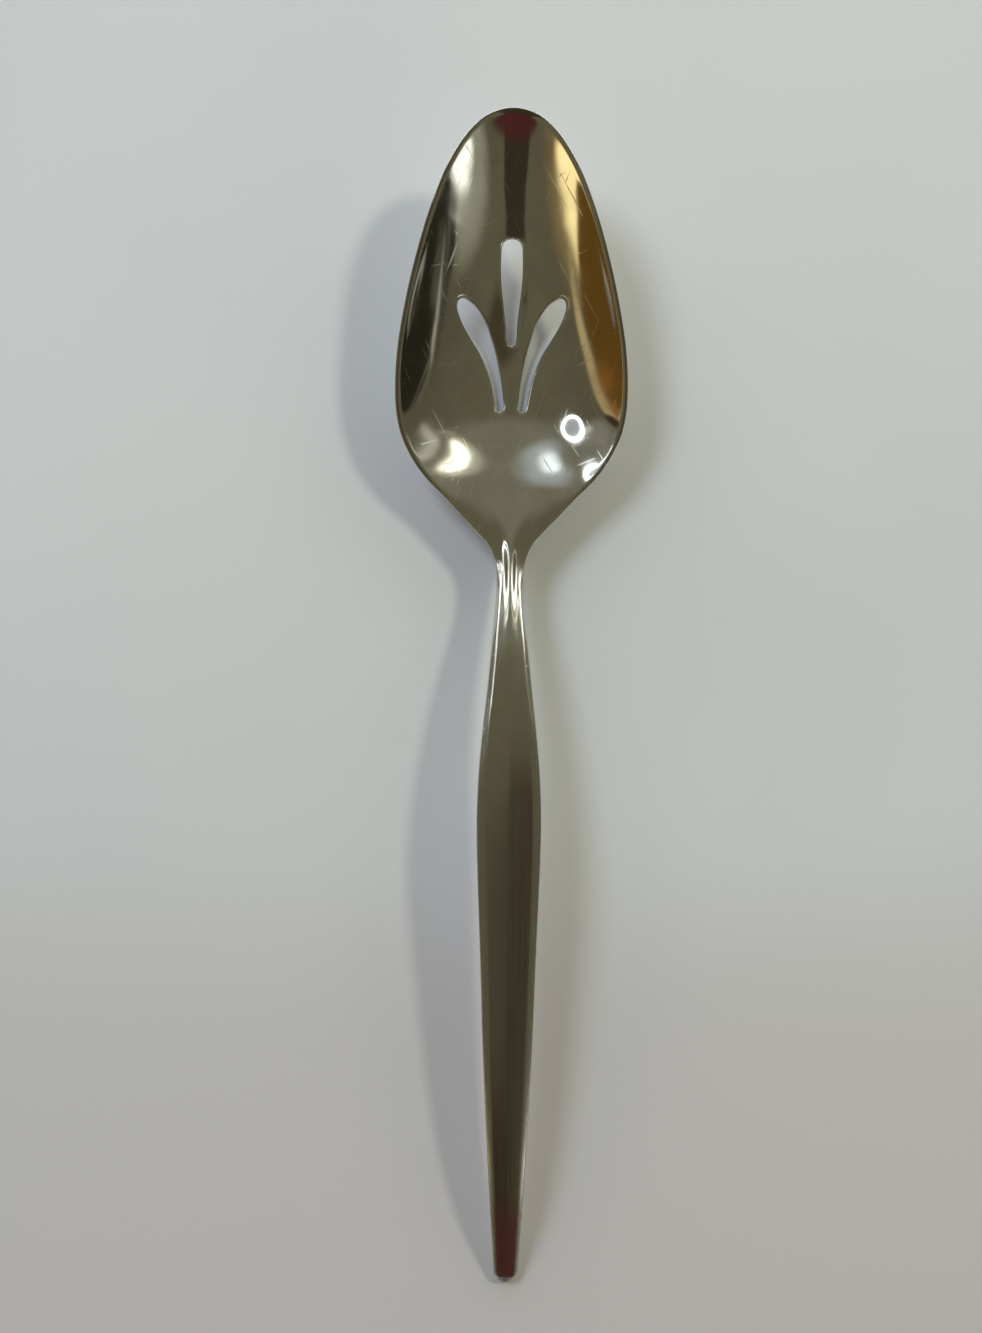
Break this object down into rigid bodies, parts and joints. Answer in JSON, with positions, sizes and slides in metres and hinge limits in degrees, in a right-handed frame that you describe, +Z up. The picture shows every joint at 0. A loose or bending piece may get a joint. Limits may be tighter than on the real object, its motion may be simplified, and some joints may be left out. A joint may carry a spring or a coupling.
{
  "type": "slotted serving spoon",
  "caption": "Serving spoon of polished steel: egg-shaped hollow bowl pierced with petal-shaped drain slots, slim waisted neck and long bevelled handle that arches down to its tip.",
  "frame": {"origin": "on the table that the spoon lies on, under the middle of its length and width", "axes": "+Y along the spoon from the end of the handle towards the front of the bowl, +X across it, +Z up out of the bowl's hollow"},
  "size_m": [0.0424, 0.213, 0.0194],
  "materials": {
    "stainless_steel": "mirror polished in the bowl and neck, satin brushed lengthwise on the handle, with fine wear scratches"
  },
  "bodies": {
    "root": {"bowl": "stainless_steel", "handle": "stainless_steel"}
  },
  "joints": []
}
